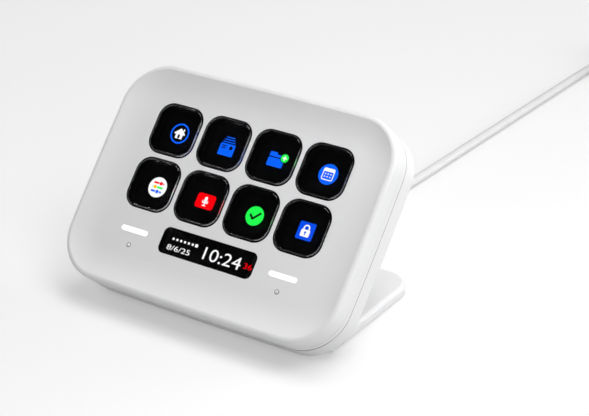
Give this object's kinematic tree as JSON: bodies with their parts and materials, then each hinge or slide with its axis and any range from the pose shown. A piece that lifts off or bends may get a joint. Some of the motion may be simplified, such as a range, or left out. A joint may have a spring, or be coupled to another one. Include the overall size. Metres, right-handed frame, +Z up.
{
  "type": "macro keypad",
  "caption": "Tilted white desk keypad: clear sprung keys over one display, an info screen, two light bars, touch points, a V-shaped stand and a USB lead.",
  "frame": {"origin": "bottom centre of the keypad on its stand, without its lead, on the surface that it stands on", "axes": "+Z up, +X across the keys from left to right, -Y towards the user; the face leans back 48.2 degrees from the surface"},
  "size_m": [0.1192, 0.337, 0.0682],
  "materials": {
    "shell_white": "fine-grained moulded white",
    "key_clear": "clear polished moulding",
    "silicone": "soft matt sheet",
    "display_glass": "black polished glass",
    "smoked_window": "dark polished window",
    "light_pipe": "milky, lit from behind",
    "tray_grey": "moulded frame",
    "foil": "thin copper foil",
    "flex_film": "amber polyimide ribbon",
    "circuit_board": "solder mask",
    "chips": "moulded package",
    "screw_steel": "plated",
    "ballast_steel": "rolled plate",
    "foot_rubber": "fine-textured rubber",
    "lead_white": "smooth flexible sleeve",
    "relief_white": "soft moulding",
    "plug_white": "overmoulding",
    "plug_steel": "plated tip"
  },
  "bodies": {
    "keypad": {"front_shell": "shell_white", "rear_shell": "shell_white", "stand": "shell_white", "dome_mat": "silicone", "lcd_panel": "display_glass", "info_display": "display_glass", "info_window": "smoked_window", "light_bar_left": "light_pipe", "light_bar_right": "light_pipe", "lcd_flex": "flex_film", "info_flex": "flex_film", "lcd_tray": "tray_grey", "touch_pad_left": "foil", "touch_pad_right": "foil", "main_board": "circuit_board", "board_components": "chips", "case_screws": "screw_steel", "tray_screws": "screw_steel", "board_screws": "screw_steel", "stand_screws": "screw_steel", "ballast_plate": "ballast_steel", "foot_pad": "foot_rubber", "strain_relief": "relief_white", "usb_cable": "lead_white", "cable_coil": "lead_white", "cable_tail": "lead_white", "usb_plug_body": "plug_white", "usb_plug_shell": "plug_steel"},
    "key_1": {"key_cap_1": "key_clear"},
    "key_2": {"key_cap_2": "key_clear"},
    "key_3": {"key_cap_3": "key_clear"},
    "key_4": {"key_cap_4": "key_clear"},
    "key_5": {"key_cap_5": "key_clear"},
    "key_6": {"key_cap_6": "key_clear"},
    "key_7": {"key_cap_7": "key_clear"},
    "key_8": {"key_cap_8": "key_clear"}
  },
  "joints": [
    {"name": "key_1_press", "type": "slide", "parent": "keypad", "child": "key_1", "axis": [0, 0.7455, -0.6665], "range_m": [0, 0.0012], "stiffness_N_per_m": 450, "springref_m": -0.0005, "deforming": ["dome_mat"]},
    {"name": "key_2_press", "type": "slide", "parent": "keypad", "child": "key_2", "axis": [0, 0.7455, -0.6665], "range_m": [0, 0.0012], "stiffness_N_per_m": 450, "springref_m": -0.0005, "deforming": ["dome_mat"]},
    {"name": "key_3_press", "type": "slide", "parent": "keypad", "child": "key_3", "axis": [0, 0.7455, -0.6665], "range_m": [0, 0.0012], "stiffness_N_per_m": 450, "springref_m": -0.0005, "deforming": ["dome_mat"]},
    {"name": "key_4_press", "type": "slide", "parent": "keypad", "child": "key_4", "axis": [0, 0.7455, -0.6665], "range_m": [0, 0.0012], "stiffness_N_per_m": 450, "springref_m": -0.0005, "deforming": ["dome_mat"]},
    {"name": "key_5_press", "type": "slide", "parent": "keypad", "child": "key_5", "axis": [0, 0.7455, -0.6665], "range_m": [0, 0.0012], "stiffness_N_per_m": 450, "springref_m": -0.0005, "deforming": ["dome_mat"]},
    {"name": "key_6_press", "type": "slide", "parent": "keypad", "child": "key_6", "axis": [0, 0.7455, -0.6665], "range_m": [0, 0.0012], "stiffness_N_per_m": 450, "springref_m": -0.0005, "deforming": ["dome_mat"]},
    {"name": "key_7_press", "type": "slide", "parent": "keypad", "child": "key_7", "axis": [0, 0.7455, -0.6665], "range_m": [0, 0.0012], "stiffness_N_per_m": 450, "springref_m": -0.0005, "deforming": ["dome_mat"]},
    {"name": "key_8_press", "type": "slide", "parent": "keypad", "child": "key_8", "axis": [0, 0.7455, -0.6665], "range_m": [0, 0.0012], "stiffness_N_per_m": 450, "springref_m": -0.0005, "deforming": ["dome_mat"]}
  ]
}
